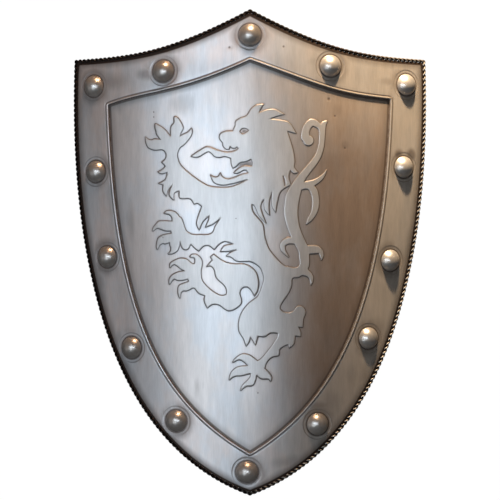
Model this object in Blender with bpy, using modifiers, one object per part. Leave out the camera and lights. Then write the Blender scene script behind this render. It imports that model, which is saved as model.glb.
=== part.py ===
"""A knight's heater shield of sheet steel, with a rampant lion in low relief.

The shield lies on the ground with its face up: +Z is up, the peak of its top edge points to +Y
and its lower tip to -Y. The sheet is bent about its long axis, so the long side edges rest on the
ground, and the peak and the tip stand clear of it. All sizes are in metres.
"""
import math

import bpy
import bmesh
import numpy as np
from mathutils import Matrix, Vector
from mathutils.geometry import delaunay_2d_cdt

# Overall outline, measured over the rope edge
SHIELD_HEIGHT = 0.700
CORNER_WIDTH = 0.523
PEAK_RISE = 0.063

# How each side and each half of the top edge swings, as shares of its own width and height
SIDE_SWING = ((0.8975, 0.1305), (1.0345, 0.6180))
TOP_SWING = ((0.440, 0.955), (0.660, 1.020))

# Bend of the sheet
BEND_DEPTH = 0.078
CREASE_FALL = 0.0118
CREASE_SOFTNESS = 0.006
GROUND_CONTACT = 0.285
TOE_SPRING = 0.060

# Sheets, from the back of the plate to the lip of the band
PLATE_THICKNESS = 0.0012
BAND_THICKNESS = 0.0015
LIP_HEIGHT = 0.0030
LIP_WIDTH = 0.0042
LION_RELIEF = 0.0008
CLEARANCE = 0.0003

# Half section of the lip, from the field outwards: shares of its width and of its height
LIP_PROFILE = ((0.0, 0.6), (0.25, 1.0), (0.75, 1.0))

# Inner line of the band, cut by hand: its left half (-1) and right half (1) differ a little
BAND_WIDTH_AT_PEAK = 0.0745
BAND_WIDTH_AT_TIP = 0.0622
LEFT_BAND_WIDTH = 0.0544
RIGHT_BAND_WIDTH = 0.0566
LEFT_CORNER_DROP = 0.0711
RIGHT_CORNER_DROP = 0.0627
INNER_SIDE_SWING = {-1: ((0.613, 0.147), (0.949, 0.373)), 1: ((0.579, 0.139), (0.961, 0.392))}
INNER_TOP_SWING = {-1: ((0.495, 0.793), (0.720, 0.686)), 1: ((0.535, 0.755), (0.613, 0.912))}

# Twisted wire round the rim
ROPE_RADIUS = 0.0029
ROPE_SIDES = 8

# Dome-headed rivets
HEAD_RADIUS = 0.0158
HEAD_HEIGHT = 0.0108
SHANK_RADIUS = 0.0030
TAIL_RADIUS = 0.0060
TAIL_THICKNESS = 0.0015
RIVET_STEPS = 14
HEAD_RINGS = 3
HOLE_SIDES = 8

# Place of each rivet: edge, half of the shield, share along the edge, share across the band
RIVET_PLACES = (
    ("top", 1, 0.000, 0.505),
    ("top", -1, 0.481, 0.557),
    ("top", 1, 0.445, 0.487),
    ("side", -1, 0.999, 0.576),
    ("side", 1, 0.994, 0.551),
    ("side", -1, 0.840, 0.541),
    ("side", 1, 0.842, 0.538),
    ("side", -1, 0.666, 0.544),
    ("side", 1, 0.653, 0.551),
    ("side", -1, 0.446, 0.492),
    ("side", 1, 0.469, 0.540),
    ("side", -1, 0.231, 0.488),
    ("side", 1, 0.217, 0.526),
    ("side", -1, 0.008, 0.521),
)

# Stations along the rim, the grid of the field, and how close its points come to lines and holes
SIDE_STATIONS = 26
TOP_STATIONS = 12
GRID_ACROSS = 0.024
GRID_ALONG = 0.075
GRID_MARGIN = 0.008
HOLE_MARGIN = 0.006
SLOPE_REACH = 0.0005

# The lion is drawn on a squared sheet whose squares count from its top left corner
LION_HEIGHT = 0.4125
LION_SQUARES = 285.0
SHEET_CENTRE = (250.0, 252.2)
SPLINE_STEP = 3.0
LION_TOLERANCE = 0.30
SMALLEST_ISLAND = 6.0
TIP = True

COLLECTION_NAME = "heater_shield"


# Materials

def make_material(name, colour, roughness, metallic):
    material = bpy.data.materials.new(name)
    material.use_nodes = True
    shader = material.node_tree.nodes["Principled BSDF"]
    shader.inputs["Base Color"].default_value = (*colour, 1.0)
    shader.inputs["Roughness"].default_value = roughness
    shader.inputs["Metallic"].default_value = metallic
    material.diffuse_color = (*colour, 1.0)
    return material


# Plan of the shield

def bezier(start, swing, end, shares):
    """Points of a curve whose two handles are shares of its own width and height."""
    start = np.array(start)
    end = np.array(end)
    first = start + np.array(swing[0]) * (end - start)
    second = start + np.array(swing[1]) * (end - start)
    t = np.asarray(shares, dtype=float)[:, None]
    return ((1 - t) ** 3 * start + 3 * (1 - t) ** 2 * t * first
            + 3 * (1 - t) * t ** 2 * second + t ** 3 * end)


def outer_side(shares, half):
    """One side of the outline, from the lower tip to the top corner."""
    return bezier((0.0, -SHIELD_HEIGHT / 2), SIDE_SWING, outer_corner(half), shares)


def outer_top(shares, half):
    """Half of the top edge, from the peak to the top corner."""
    return bezier((0.0, SHIELD_HEIGHT / 2), TOP_SWING, outer_corner(half), shares)


def outer_corner(half):
    return (half * CORNER_WIDTH / 2, SHIELD_HEIGHT / 2 - PEAK_RISE)


def inner_side(shares, half):
    """One side of the band's inner line."""
    start = (0.0, BAND_WIDTH_AT_TIP - SHIELD_HEIGHT / 2)
    return bezier(start, INNER_SIDE_SWING[half], inner_corner(half), shares)


def inner_top(shares, half):
    """Half of the band's inner line below the top edge."""
    start = (0.0, SHIELD_HEIGHT / 2 - BAND_WIDTH_AT_PEAK)
    return bezier(start, INNER_TOP_SWING[half], inner_corner(half), shares)


def inner_corner(half):
    x, y = outer_corner(half)
    if half > 0:
        return (x - RIGHT_BAND_WIDTH, y - RIGHT_CORNER_DROP)
    return (x + LEFT_BAND_WIDTH, y - LEFT_CORNER_DROP)


def closed_loop(side, top):
    """Both halves of an outline as one loop, counter-clockwise from the lower tip."""
    upwards = np.linspace(0, 1, SIDE_STATIONS + 1)
    outwards = np.linspace(0, 1, TOP_STATIONS + 1)
    runs = (side(upwards, 1), top(outwards[::-1], 1), top(outwards, -1), side(upwards[::-1], -1))
    return np.vstack([run[:-1] for run in runs])


def inset(loop, distance):
    """The loop moved inwards; distance is one number or one for each point."""
    ahead = np.roll(loop, -1, axis=0) - loop
    ahead /= np.linalg.norm(ahead, axis=1)[:, None]
    behind = np.roll(ahead, 1, axis=0)
    normal_ahead = np.column_stack([-ahead[:, 1], ahead[:, 0]])
    normal_behind = np.column_stack([-behind[:, 1], behind[:, 0]])
    mitre = normal_ahead + normal_behind
    mitre /= 1 + np.sum(normal_ahead * normal_behind, axis=1)[:, None]
    return loop + mitre * np.reshape(distance, (-1, 1))


# Bent surface that everything lies on: the underside of the band

def rope_line():
    """Plan of the middle of the rope."""
    return inset(closed_loop(outer_side, outer_top), ROPE_RADIUS)


def resting_half_width(y):
    """Half width of the rope line where the rim meets the ground, running out towards the tip."""
    half = rope_line()[:SIDE_STATIONS + 1]
    lowest = outer_corner(1)[1] - GROUND_CONTACT
    below = TOE_SPRING * (np.exp(np.minimum(y - lowest, 0.0) / TOE_SPRING) - 1)
    held = np.where(y < lowest, lowest + below, y)
    return np.interp(held, half[:, 1], half[:, 0])


def crease(x):
    """Fall of the surface on both sides of the crease down its middle."""
    slope = CREASE_FALL / (CORNER_WIDTH / 2)
    return slope * (np.hypot(x, CREASE_SOFTNESS) - CREASE_SOFTNESS)


def height(x, y):
    """Height of the bent surface above the ground."""
    half = resting_half_width(y)
    depth = BEND_DEPTH - crease(half)
    radius = (half ** 2 + depth ** 2) / (2 * depth)
    arc = radius - np.sqrt(radius ** 2 - x ** 2)
    return ROPE_RADIUS + BEND_DEPTH - crease(x) - arc


def slopes(x, y):
    along_x = (height(x + SLOPE_REACH, y) - height(x - SLOPE_REACH, y)) / (2 * SLOPE_REACH)
    along_y = (height(x, y + SLOPE_REACH) - height(x, y - SLOPE_REACH)) / (2 * SLOPE_REACH)
    return along_x, along_y


def lift(plan, offset):
    """Plan points set on the bent surface, then moved along its normal by offset."""
    plan = np.asarray(plan, dtype=float)
    x = plan[:, 0]
    y = plan[:, 1]
    slope_x, slope_y = slopes(x, y)
    normal = np.column_stack([-slope_x, -slope_y, np.ones(len(plan))])
    normal /= np.linalg.norm(normal, axis=1)[:, None]
    return np.column_stack([x, y, height(x, y)]) + normal * offset


def sheet_edge():
    """Plan of the edge of plate and band, which stops just short of the rope."""
    line = rope_line()
    inward = inset(line, 1.0) - line
    inward /= np.linalg.norm(inward, axis=1)[:, None]
    slope_x, slope_y = slopes(line[:, 0], line[:, 1])
    slope = slope_x * inward[:, 0] + slope_y * inward[:, 1]
    reach = ROPE_RADIUS / math.cos(math.pi / ROPE_SIDES) + CLEARANCE
    return inset(line, reach / np.sqrt(1 + slope ** 2))


# Rivet places and holes

def rivet_place(edge, half, along, across):
    """Plan point on the band, between its outer and its inner line."""
    outer, inner = (outer_side, inner_side) if edge == "side" else (outer_top, inner_top)
    return (1 - across) * outer([along], half)[0] + across * inner([along], half)[0]


def rivet_plan():
    return [rivet_place(*place) for place in RIVET_PLACES]


def hole_loop(centre):
    """Rim of one rivet hole, counter-clockwise, round when seen along the surface's normal."""
    slope_x, slope_y = slopes(*centre)
    radius = (SHANK_RADIUS + CLEARANCE) / math.cos(math.pi / HOLE_SIDES)
    angles = np.arange(HOLE_SIDES) * 2 * math.pi / HOLE_SIDES
    across = radius * np.cos(angles) / math.hypot(1, slope_x)
    along = radius * np.sin(angles) / math.hypot(1, slope_y)
    return centre + np.column_stack([across, along])


# Drawing the lion on its sheet

def spline_between(before, start, end, after):
    """Points from start up to end on a smooth curve through four neighbours."""
    count = max(1, round(float(np.linalg.norm((end - start)[:2])) / SPLINE_STEP))
    t = (np.arange(count) / count)[:, None]
    tangent_in = (end - before) / 2
    tangent_out = (after - start) / 2
    reach = np.linalg.norm((end - start)[:2])
    tangent_in *= min(1.0, reach / max(1e-9, np.linalg.norm(tangent_in[:2])))
    tangent_out *= min(1.0, reach / max(1e-9, np.linalg.norm(tangent_out[:2])))
    return ((2 * t ** 3 - 3 * t ** 2 + 1) * start + (t ** 3 - 2 * t ** 2 + t) * tangent_in
            + (3 * t ** 2 - 2 * t ** 3) * end + (t ** 3 - t ** 2) * tangent_out)


def patch(*marks):
    """Closed outline: smooth through plain marks, with a sharp corner at each mark that is a TIP."""
    points = [np.array(mark[:2], dtype=float) for mark in marks]
    sharp = [len(mark) > 2 for mark in marks]
    count = len(points)
    outline = []
    for i in range(count):
        start = points[i]
        end = points[(i + 1) % count]
        before = start if sharp[i] else points[i - 1]
        after = end if sharp[(i + 1) % count] else points[(i + 2) % count]
        outline.append(spline_between(before, start, end, after))
    return np.vstack(outline)


def stroke(*stations):
    """Tapered stroke: each station is a point and the stroke's half width there."""
    stations = [np.array(station, dtype=float) for station in stations]
    last = len(stations) - 1
    line = []
    for i in range(last):
        before = stations[max(i - 1, 0)]
        after = stations[min(i + 2, last)]
        line.append(spline_between(before, stations[i], stations[i + 1], after))
    line = np.vstack(line + [stations[last][None]])
    run = np.gradient(line[:, :2], axis=0)
    run /= np.linalg.norm(run, axis=1)[:, None]
    side = np.column_stack([-run[:, 1], run[:, 0]]) * line[:, 2:]
    return np.vstack([line[:, :2] + side, (line[:, :2] - side)[::-1]])


def disc(x, y, radius):
    angles = np.arange(12) * math.pi / 6
    return np.column_stack([x + radius * np.cos(angles), y + radius * np.sin(angles)])


def lion_head():
    """Head with the crown and back of the mane, and the jaws with tongue and teeth."""
    mane = patch(
        (219.5, 138), (220.8, 134), (226, 131.7), (233, 131.5, TIP), (235.4, 125.5), (235.6, 122.5),
        (240, 119), (246.5, 116.5), (250.5, 110.5), (256, 106), (264, 105, TIP), (261, 109),
        (259, 113.5, TIP), (265, 111), (274, 110), (284.5, 115, TIP), (276.5, 117), (270, 119.5, TIP),
        (280, 120.7), (288, 122.5), (292, 127), (296, 134, TIP), (287, 131.5, TIP), (290, 141),
        (293, 151), (294.5, 161), (294.3, 168), (298, 172.5, TIP), (294, 173.8), (290, 170.5, TIP),
        (288.8, 177), (290.5, 185, TIP), (285.5, 188.5), (280.5, 192, TIP), (277.3, 202),
        (275.5, 212.5, TIP), (272.3, 207), (272, 192, TIP), (269, 203), (269.5, 215.5, TIP),
        (264.8, 210), (264, 199, TIP), (260.6, 207), (266, 223.5, TIP), (259, 215.5),
        (253.5, 205, TIP), (248, 203, TIP), (236, 196, TIP), (238, 184.7, TIP), (248.5, 179.5, TIP),
        (248.2, 173.5, TIP), (248.5, 166.8, TIP), (252, 166.5), (252.5, 163), (251.3, 159.7),
        (246, 162), (240, 163.2), (236.5, 166.7), (233, 168.7, TIP), (231.7, 165), (231, 158.5, TIP),
        (240, 153, TIP), (238, 149.5, TIP), (238.5, 148.5, TIP), (237, 147.2, TIP), (235, 149),
        (232.5, 148.7), (230.3, 146.7, TIP), (229, 150), (225.8, 149.3), (223.3, 146.5),
        (222.6, 143), (220.5, 140.5))
    tooth = patch(
        (233.7, 173.3, TIP), (237, 170), (241, 167.5), (244.5, 166.2), (248.5, 166.6, TIP),
        (252, 167, TIP), (252, 174, TIP), (248.5, 173, TIP), (245, 170.6), (241, 172), (237.5, 173.7))
    chin = patch(
        (210.5, 175, TIP), (214, 177), (218, 176.8), (220.5, 173, TIP), (222.3, 176.5), (226, 178.8),
        (231, 178.8), (237, 176.7), (242, 174.8), (247, 173.4, TIP), (252, 173, TIP), (252, 182, TIP),
        (248, 179.8, TIP), (242, 181.3), (236, 183), (230, 184.5), (224, 185.4), (218, 184.6),
        (213.5, 181.8))
    tongue = patch(
        (191, 156.5, TIP), (196, 153), (201.5, 149.8), (207, 147), (211.5, 148), (217, 150.3),
        (222, 151.5), (228, 152.5), (232, 151.6), (238, 149.5, TIP), (242, 152, TIP), (236, 158, TIP),
        (231, 158.7, TIP), (225, 157), (219, 158), (215, 157), (212, 154), (209, 152), (206, 153),
        (202, 155.5), (197, 157.5))
    return [mane, tooth, chin, tongue]


def lion_trunk():
    """Chest, belly and the shoulder of the lower arm."""
    return [patch(
        (176, 217, TIP), (181, 217.2), (183.4, 223), (186.5, 230.5), (192, 234), (200.5, 234.6),
        (212, 233, TIP), (215.7, 225.7), (220.5, 218.5, TIP), (213, 224.3), (205.5, 227.3, TIP),
        (208.5, 220.5), (209.5, 215.5, TIP), (203, 222), (199.5, 230, TIP), (196.8, 224), (200, 214),
        (202, 206.3, TIP), (226, 200, TIP), (250, 195, TIP), (252, 206.5, TIP), (252.6, 211),
        (258, 218), (263, 225), (264.5, 235), (268, 247), (273.5, 255), (280, 261), (284, 265.3),
        (290, 267.5), (296, 271, TIP), (290, 283, TIP), (270, 290, TIP), (263.7, 278, TIP),
        (260.5, 268), (252, 262), (244, 261.5), (236, 260.5), (231.5, 257.2), (226.5, 256, TIP),
        (230, 253), (236.5, 249.8, TIP), (228.5, 251.3), (220.5, 251.5, TIP), (224.5, 245.8),
        (233.5, 244, TIP), (225, 241.5), (219, 244.5), (214.5, 249.5), (209.5, 245.7), (204, 246),
        (199, 251, TIP), (195.5, 248.5), (191, 244, TIP), (187.5, 249.3), (183.5, 249),
        (180, 241, TIP), (174, 240, TIP), (170.5, 230, TIP))]


def lion_upper_arm():
    """Raised arm with its tufts, and the four claws of its paw."""
    arm = patch(
        (168, 142, TIP), (179, 142, TIP), (183, 143.5), (179.3, 149), (177.5, 155), (180, 163.5),
        (188, 172), (198, 179.5), (207, 185.2), (215, 187.2), (224, 187.5), (231, 187),
        (239, 184.3), (248.5, 179.5, TIP), (250, 205, TIP), (226, 212, TIP), (202, 206.3, TIP),
        (197.5, 203.3), (194.5, 204.3), (190.5, 199), (185, 198.8), (179.5, 197.5),
        (179.4, 190.7, TIP), (174.3, 193), (173.9, 200, TIP), (169, 194.5), (172, 184.8, TIP),
        (168, 190), (166.3, 196, TIP), (162.8, 191), (163, 184.5, TIP), (158, 183, TIP),
        (165, 179.3), (167.2, 172, TIP), (161, 173.4), (157.5, 171.5, TIP), (163, 168.5),
        (165.3, 165.7, TIP), (161.5, 162, TIP), (165.3, 158.5), (166, 154), (163, 149.5, TIP))
    claws = [
        stroke((166, 145.5, 4.5), (162, 144.7, 5), (155, 144, 5.7), (150, 143, 4.5), (147, 140.5, 2.2),
               (145, 136.3, 0.3)),
        stroke((170, 145, 5), (168, 141, 5), (164, 135.5, 4.8), (160.5, 131.5, 4.8), (158, 127.5, 2.8),
               (156, 124.5, 1.2), (155, 123.3, 0.3)),
        stroke((175, 145, 4.5), (175, 140, 4.5), (176, 132, 5), (177.2, 127, 6.2), (177.2, 122, 3.3),
               (176.2, 119, 2.2), (174.5, 116.5, 0.3)),
        stroke((175, 146, 3.5), (180, 142.2, 4.6), (185.5, 137.5, 4), (189, 134.5, 2.8), (191.2, 131, 1.4),
               (191.7, 128.5, 0.3)),
    ]
    return [arm] + claws


def lion_lower_arm():
    """Claws of the second forepaw."""
    return [
        stroke((178, 226, 4), (176, 218.5, 4.2), (173, 214, 3), (169, 212.2, 2), (166, 212.4, 1.4),
               (164, 213, 0.3)),
        stroke((178, 228, 5), (172, 226, 5), (165, 225.7, 4.9), (159.5, 225, 4.2), (155.8, 226.5, 2),
               (153.5, 228.8, 1.3), (152.2, 230.8, 0.3)),
        stroke((177, 236, 4.5), (171, 237.5, 4), (165, 239, 4.6), (160.5, 240.5, 3.8), (158, 244, 1.9),
               (157.2, 247, 1.2), (157, 249.2, 0.3)),
        stroke((177, 234, 5), (175, 238, 5), (174.7, 244, 5), (174, 249, 3.8), (171.5, 252.3, 1.7),
               (168, 253.8, 0.3)),
    ]


def lion_far_leg():
    """Bent hind leg in front of the belly, with its paw."""
    leg = patch(
        (187, 266, TIP), (196, 263, TIP), (202.3, 264), (201.3, 271), (202.5, 280), (208, 286.5),
        (214, 291.5), (221, 295), (226.5, 293.5), (225.5, 286.5), (220, 281), (216.3, 277),
        (214.8, 270.5), (211.5, 266), (206.8, 266.5, TIP), (210, 262.5), (212.8, 260, TIP),
        (210.7, 257), (214, 254), (220, 258.8), (227, 262.3), (234, 263.6), (244, 263.8),
        (251, 266.8), (256.5, 273), (258.6, 283), (257, 291.5), (254.5, 295.5, TIP), (252, 291),
        (247.5, 286.7), (242, 288), (240, 293), (241.7, 302), (236, 308), (228, 310.2), (220, 305),
        (213, 304), (207.5, 308, TIP), (204.3, 299.5), (205.3, 295.5), (199, 293), (194.5, 287.5),
        (190, 284, TIP), (187, 276, TIP))
    claws = [
        stroke((198, 267, 4), (198.5, 263, 4), (198, 259, 3.2), (195.5, 256, 1.9), (192.5, 255.6, 1.4),
               (190, 256.5, 0.3)),
        stroke((194, 270, 5), (190, 267.5, 5), (184, 264, 5.8), (179, 262.5, 4.3), (174, 262.8, 1.8),
               (171, 264.5, 1.5), (170, 267.5, 0.3)),
        stroke((194, 274, 4.5), (190, 274, 4), (183, 275.5, 4.6), (177.5, 276.3, 4), (173, 277, 2.2),
               (170.3, 280.5, 1.7), (169.5, 284.4, 0.3)),
        stroke((197, 284, 5), (193, 283.8, 4), (187, 286.5, 4), (181.5, 288, 3.5), (179.6, 292, 1.8),
               (179.7, 295, 1.2), (180, 298, 0.3)),
    ]
    return [leg] + claws


def lion_near_leg():
    """Standing hind leg from the rump down, and the claws of its foot."""
    leg = patch(
        (264, 268, TIP), (263.6, 279.5), (261.5, 287), (257.5, 296), (249.5, 302), (242.3, 311),
        (238.7, 321), (239.3, 331), (243.5, 338), (246.3, 345.5, TIP), (249.2, 341),
        (250.5, 336, TIP), (253, 340), (255.5, 344.3, TIP), (258, 335.5, TIP), (265, 335.8),
        (270, 332.5), (277.5, 333), (276, 338.5), (269, 348.5), (261, 357.8), (256, 361),
        (252, 366, TIP), (256, 373, TIP), (264, 370, TIP), (265, 365.5), (268, 359.8), (273, 356),
        (278.5, 354.8), (279.5, 349, TIP), (284, 345.5), (288, 344, TIP), (289, 347.5, TIP),
        (293.5, 344), (295, 335.5, TIP), (300.5, 336.3, TIP), (300.3, 331), (298, 326.5, TIP),
        (302.5, 327, TIP), (303.3, 319), (305.5, 312), (302.5, 306.6), (297, 306), (292, 311.5, TIP),
        (285, 312), (280, 308.5), (281.5, 303), (287, 295), (291, 287), (291.7, 279),
        (288, 266, TIP))
    claws = [
        stroke((258, 367, 5), (254, 363.5, 5), (248, 358.5, 4.6), (243, 356.5, 3.6), (238, 357.5, 1.7),
               (235, 359.5, 1), (233, 361.5, 0.3)),
        stroke((258, 368, 4), (254, 368, 4), (246, 369.2, 4), (239, 370.5, 4.6), (234, 372.8, 3),
               (231, 376, 1.4), (229.6, 379, 0.3)),
        stroke((255, 367, 4), (254, 371, 3.5), (253, 376.5, 2.9), (250.5, 381, 4), (246, 383.3, 2),
               (243, 386, 1.3), (240.8, 389.4, 0.3)),
        stroke((258, 366, 5), (260, 370, 5), (263.5, 373.5, 5), (267.5, 375.2, 3.5), (270.2, 377.5, 1.7),
               (270.6, 380.2, 0.3)),
    ]
    return [leg] + claws


def lion_tail():
    """Tail from the rump up to its curl, with the leaves that spring from it."""
    return [
        stroke((284, 272, 6), (290, 272.4, 5.6), (297, 272.4, 5), (303, 268, 5), (304, 262, 5),
               (303.5, 251, 5.2), (298.5, 240, 5.6), (295, 232, 5.7), (292.5, 224, 6.2),
               (290.8, 214, 6.7), (291.4, 205, 6.7), (292.5, 197, 7), (296, 188, 5.6),
               (301, 178.5, 4.2), (309.2, 168, 3.5), (317.3, 157, 3.2), (321, 146, 2.9),
               (322, 134, 3), (322.3, 127.5, 3.4), (324, 123.5, 2.4), (327, 120.5, 0.3)),
        stroke((322, 133, 2), (320, 127.5, 2.6), (316, 123.9, 3.2), (311.5, 122.8, 3.6),
               (307, 127, 3.7), (305.2, 133, 3.9), (305.6, 138.5, 4.2), (308, 141.5, 3.6)),
        disc(308.2, 140.7, 5.2),
        stroke((297, 188, 3), (303, 186, 3.6), (309, 184.5, 3.6), (314, 182.6, 2.9), (319, 179.5, 2.4),
               (323.5, 175, 1.5), (326.6, 169.5, 0.3)),
        stroke((305, 185.5, 3), (310.5, 187, 3.6), (313.5, 191, 3.7), (315.2, 197, 3.5),
               (315.6, 204, 3.5), (314.3, 211, 3.1), (311, 217.5, 2.5), (308, 221.5, 1.6),
               (306, 224.2, 0.3)),
        stroke((303, 243, 4), (297, 241, 3.3), (291, 240.4, 3.3), (286, 241.4, 3.1),
               (282.7, 244.6, 2.7), (282.8, 249, 2.3), (285.3, 253, 1.6), (288.5, 257, 0.3)),
        stroke((303, 250, 4.5), (311, 249.6, 4), (317, 249.6, 3.8), (320.8, 252.3, 2.4),
               (321.7, 256.5, 1.7), (321.5, 260, 0.3)),
        stroke((302, 270, 5), (307, 273.3, 3.7), (310.7, 277, 2.4), (311.4, 281, 1.6),
               (311, 284.8, 0.3)),
    ]


def lion_cuts():
    """The sunk eye, and the slit between two locks of the mane."""
    eye = patch((239.7, 132, TIP), (242.3, 129.2), (246, 129.2), (249, 131, TIP), (246, 133.4),
                (242.5, 134.6))
    slit = stroke((283, 176.3, 0.4), (284.2, 181, 0.9), (285, 186, 0.4))
    return [eye, slit]


def counter_clockwise(outline):
    """Sheet squares turned to plan units with Y up, in counter-clockwise order."""
    unit = LION_HEIGHT / LION_SQUARES
    plan = (outline - SHEET_CENTRE) * (unit, -unit)
    return plan if signed_area(plan) > 0 else plan[::-1]


def signed_area(loop):
    after = np.roll(loop, -1, axis=0)
    return float(np.sum(loop[:, 0] * after[:, 1] - after[:, 0] * loop[:, 1])) / 2


def merged_triangles(added, removed):
    """Triangles of the union of the added outlines, less the removed ones."""
    points = []
    faces = []
    for outline in added + removed:
        faces.append(list(range(len(points), len(points) + len(outline))))
        points += [Vector(point) for point in outline]
    result = delaunay_2d_cdt(points, [], faces, 1, 1e-7, True)
    corners, triangles, sources = result[0], result[2], result[5]
    kept = []
    for triangle, owners in zip(triangles, sources):
        if owners and max(owners) < len(added):
            kept.append(triangle)
    return np.array([corner[:] for corner in corners]), kept


def border_loops(triangles):
    """Loops of the edges that only one triangle has, with the triangles on their left."""
    edges = set()
    for face in triangles:
        edges.update(zip(face, face[1:] + face[:1]))
    follows = {}
    for start, end in sorted(edges):
        if (end, start) not in edges:
            follows.setdefault(start, []).append(end)
    loops = []
    while follows:
        first = next(iter(follows))
        loop = [first]
        here = first
        while here in follows:
            here_next = follows[here].pop()
            if not follows[here]:
                del follows[here]
            here = here_next
            if here == first:
                break
            loop.append(here)
        loops.append(loop)
    return loops


def thinned_run(run, tolerance):
    """Fewest points of an open run that stay within the tolerance of it."""
    if len(run) < 3:
        return [run[0]]
    chord = run[-1] - run[0]
    length = max(1e-12, float(np.hypot(*chord)))
    away = np.abs(chord[0] * (run[:, 1] - run[0, 1]) - chord[1] * (run[:, 0] - run[0, 0])) / length
    far = int(np.argmax(away))
    if away[far] <= tolerance:
        return [run[0]]
    return thinned_run(run[:far + 1], tolerance) + thinned_run(run[far:], tolerance)


def thinned_loop(loop, tolerance):
    opposite = int(np.argmax(np.linalg.norm(loop - loop[0], axis=1)))
    there = thinned_run(loop[:opposite + 1], tolerance)
    back = thinned_run(np.vstack([loop[opposite:], loop[:1]]), tolerance)
    return np.array(there + back)


def lion_loops():
    """Outlines of the raised lion in plan, the outer ones counter-clockwise."""
    added = (lion_head() + lion_trunk() + lion_upper_arm() + lion_lower_arm() + lion_far_leg()
             + lion_near_leg() + lion_tail())
    corners, triangles = merged_triangles([counter_clockwise(shape) for shape in added],
                                          [counter_clockwise(shape) for shape in lion_cuts()])
    unit = LION_HEIGHT / LION_SQUARES
    loops = []
    for loop in border_loops(triangles):
        outline = thinned_loop(corners[loop], LION_TOLERANCE * unit)
        if abs(signed_area(outline)) > SMALLEST_ISLAND * unit ** 2:
            loops.append(outline)
    return loops


# Sheets, walls and solids

def inside(points, loops):
    """Whether each point is inside an odd number of the loops."""
    crossings = np.zeros(len(points), dtype=int)
    for loop in loops:
        for (x0, y0), (x1, y1) in zip(loop, np.roll(loop, -1, axis=0)):
            if y0 == y1:
                continue
            spans = (points[:, 1] >= min(y0, y1)) & (points[:, 1] < max(y0, y1))
            at = x0 + (points[:, 1] - y0) * (x1 - x0) / (y1 - y0)
            crossings += spans & (points[:, 0] < at)
    return crossings % 2 == 1


def triangulate(loops, points):
    """Plan triangles between the given loops and points, inside an odd number of loops."""
    corners = []
    edges = []
    for loop in loops:
        first = len(corners)
        count = len(loop)
        corners += [Vector(corner) for corner in loop]
        edges += [(first + i, first + (i + 1) % count) for i in range(count)]
    corners += [Vector(point) for point in points]
    result = delaunay_2d_cdt(corners, edges, [], 0, 1e-7, False)
    plan = np.array([corner[:] for corner in result[0]])
    return plan, np.array(result[2])


def inside_faces(plan, faces, loops):
    return faces[inside(plan[faces].mean(axis=1), loops)]


def clear_points(points, loops, distance):
    """The points that keep the distance from every corner of the loops."""
    corners = np.vstack(loops)
    gaps = np.linalg.norm(points[:, None] - corners[None], axis=2)
    return points[gaps.min(axis=1) > distance]


def middle_of_band():
    """Points along the middle of the band, clear of the rivet holes."""
    middle = (sheet_edge() + closed_loop(inner_side, inner_top)) / 2
    holes = [hole_loop(centre) for centre in rivet_plan()]
    return clear_points(middle, holes, HOLE_MARGIN)


def field_grid(loops):
    """Even grid of points in the field inside the band, clear of the given loops."""
    line = closed_loop(inner_side, inner_top)
    reach = np.abs(line).max(axis=0)
    columns = math.ceil(reach[0] / GRID_ACROSS)
    rows = math.ceil(reach[1] / GRID_ALONG)
    x, y = np.meshgrid(np.arange(-columns, columns + 1) * GRID_ACROSS,
                       np.arange(-rows, rows + 1) * GRID_ALONG)
    points = np.column_stack([x.ravel(), y.ravel()])
    points = points[inside(points, [line])]
    return clear_points(points, [line] + loops, GRID_MARGIN)


class Skin:
    """Faces gathered by their corners, welded into one closed solid at the end."""

    def __init__(self):
        self.faces = []

    def sheet(self, plan, triangles, offset, facing_up):
        points = lift(plan, offset)
        for triangle in triangles:
            corners = [points[i] for i in triangle]
            self.faces.append(corners if facing_up else corners[::-1])

    def wall(self, low, high):
        """Wall between two closed rings, with the solid on the left of their direction."""
        count = len(low)
        for i in range(count):
            after = (i + 1) % count
            self.faces.append([low[i], low[after], high[after], high[i]])

    def step(self, plan, triangles, low, high):
        """Walls round a raised area, from the surface at low up to the surface at high."""
        below = lift(plan, low)
        above = lift(plan, high)
        for loop in border_loops([list(map(int, triangle)) for triangle in triangles]):
            self.wall(below[loop], above[loop])

    def build(self, name, material, collection):
        mesh = bmesh.new()
        for corners in self.faces:
            mesh.faces.new([mesh.verts.new(corner) for corner in corners])
        bmesh.ops.remove_doubles(mesh, verts=mesh.verts, dist=1e-6)
        bmesh.ops.triangulate(mesh, faces=mesh.faces)
        data = bpy.data.meshes.new(name)
        mesh.to_mesh(data)
        mesh.free()
        return add_object(name, data, material, collection)


def add_object(name, data, material, collection):
    if not data.materials:
        data.materials.append(material)
    piece = bpy.data.objects.new(name, data)
    collection.objects.link(piece)
    return piece


def make_shield_plate(material, collection):
    """Bent plate with the lion raised on its face and one hole for each rivet."""
    edge = sheet_edge()
    line = closed_loop(inner_side, inner_top)
    holes = [hole_loop(centre) for centre in rivet_plan()]
    lion = lion_loops()
    front = -CLEARANCE
    back = front - PLATE_THICKNESS
    skin = Skin()

    points = np.vstack([middle_of_band(), field_grid(lion)])
    plan, faces = triangulate([edge, line] + holes + lion, points)
    faces = inside_faces(plan, faces, [edge] + holes)
    raised = inside_faces(plan, faces, lion)
    level = faces[~inside(plan[faces].mean(axis=1), lion)]
    skin.sheet(plan, level, front, True)
    skin.sheet(plan, raised, front + LION_RELIEF, True)
    skin.step(plan, raised, front, front + LION_RELIEF)

    points = np.vstack([middle_of_band(), field_grid([])])
    plan, faces = triangulate([edge, line] + holes, points)
    skin.sheet(plan, inside_faces(plan, faces, [edge] + holes), back, False)
    skin.wall(lift(edge, back), lift(edge, front))
    for hole in holes:
        skin.wall(lift(hole[::-1], back), lift(hole[::-1], front))
    return skin.build("shield_plate", material, collection)


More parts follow.
